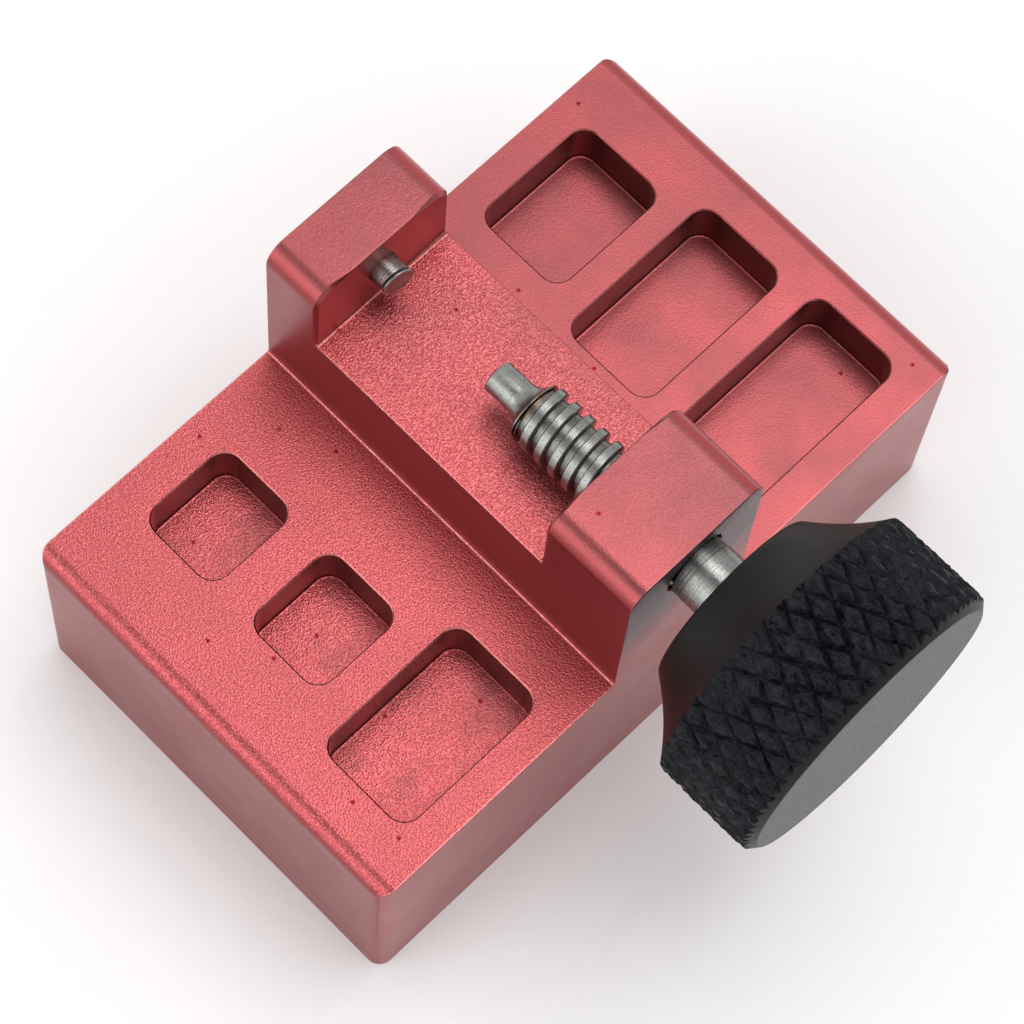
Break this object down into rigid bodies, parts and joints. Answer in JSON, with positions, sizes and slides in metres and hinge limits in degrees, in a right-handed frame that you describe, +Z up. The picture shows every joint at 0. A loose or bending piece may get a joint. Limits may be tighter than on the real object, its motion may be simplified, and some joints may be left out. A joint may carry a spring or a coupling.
{
  "type": "watch movement holder",
  "caption": "Bench block that clamps a watch movement between a fixed pin and a screw-driven swivelling nose, with shallow pockets for small parts.",
  "frame": {"origin": "centre of the block's underside", "axes": "+X along the screw towards the knob, +Y towards the deck with the longer pockets, +Z up"},
  "size_m": [0.0629, 0.0706, 0.0525],
  "materials": {
    "red_anodised": "bead-blasted, red anodised",
    "turned_steel": "turned",
    "spring_steel": "drawn wire",
    "black_anodised": "satin, black anodised, diamond-knurled grip"
  },
  "bodies": {
    "block": {"block": "red_anodised", "fixed_pin": "turned_steel"},
    "nose": {"nose": "turned_steel", "nose_ring": "spring_steel"},
    "screw": {"spindle": "turned_steel", "knob": "black_anodised"}
  },
  "joints": [
    {"name": "nose_slide", "type": "slide", "parent": "block", "child": "nose", "axis": [-1, 0, 0], "range_m": [-0.0086, 0.004]},
    {"name": "screw_turn", "type": "hinge", "parent": "nose", "child": "screw", "pos_m": [0.003, 0, 0.0384], "axis": [-1, 0, 0], "range_deg": [-1890, 880]}
  ],
  "couplings": [
    {"joint": "nose_slide", "follows": "screw_turn", "m_per_rad": 0.00025783}
  ]
}
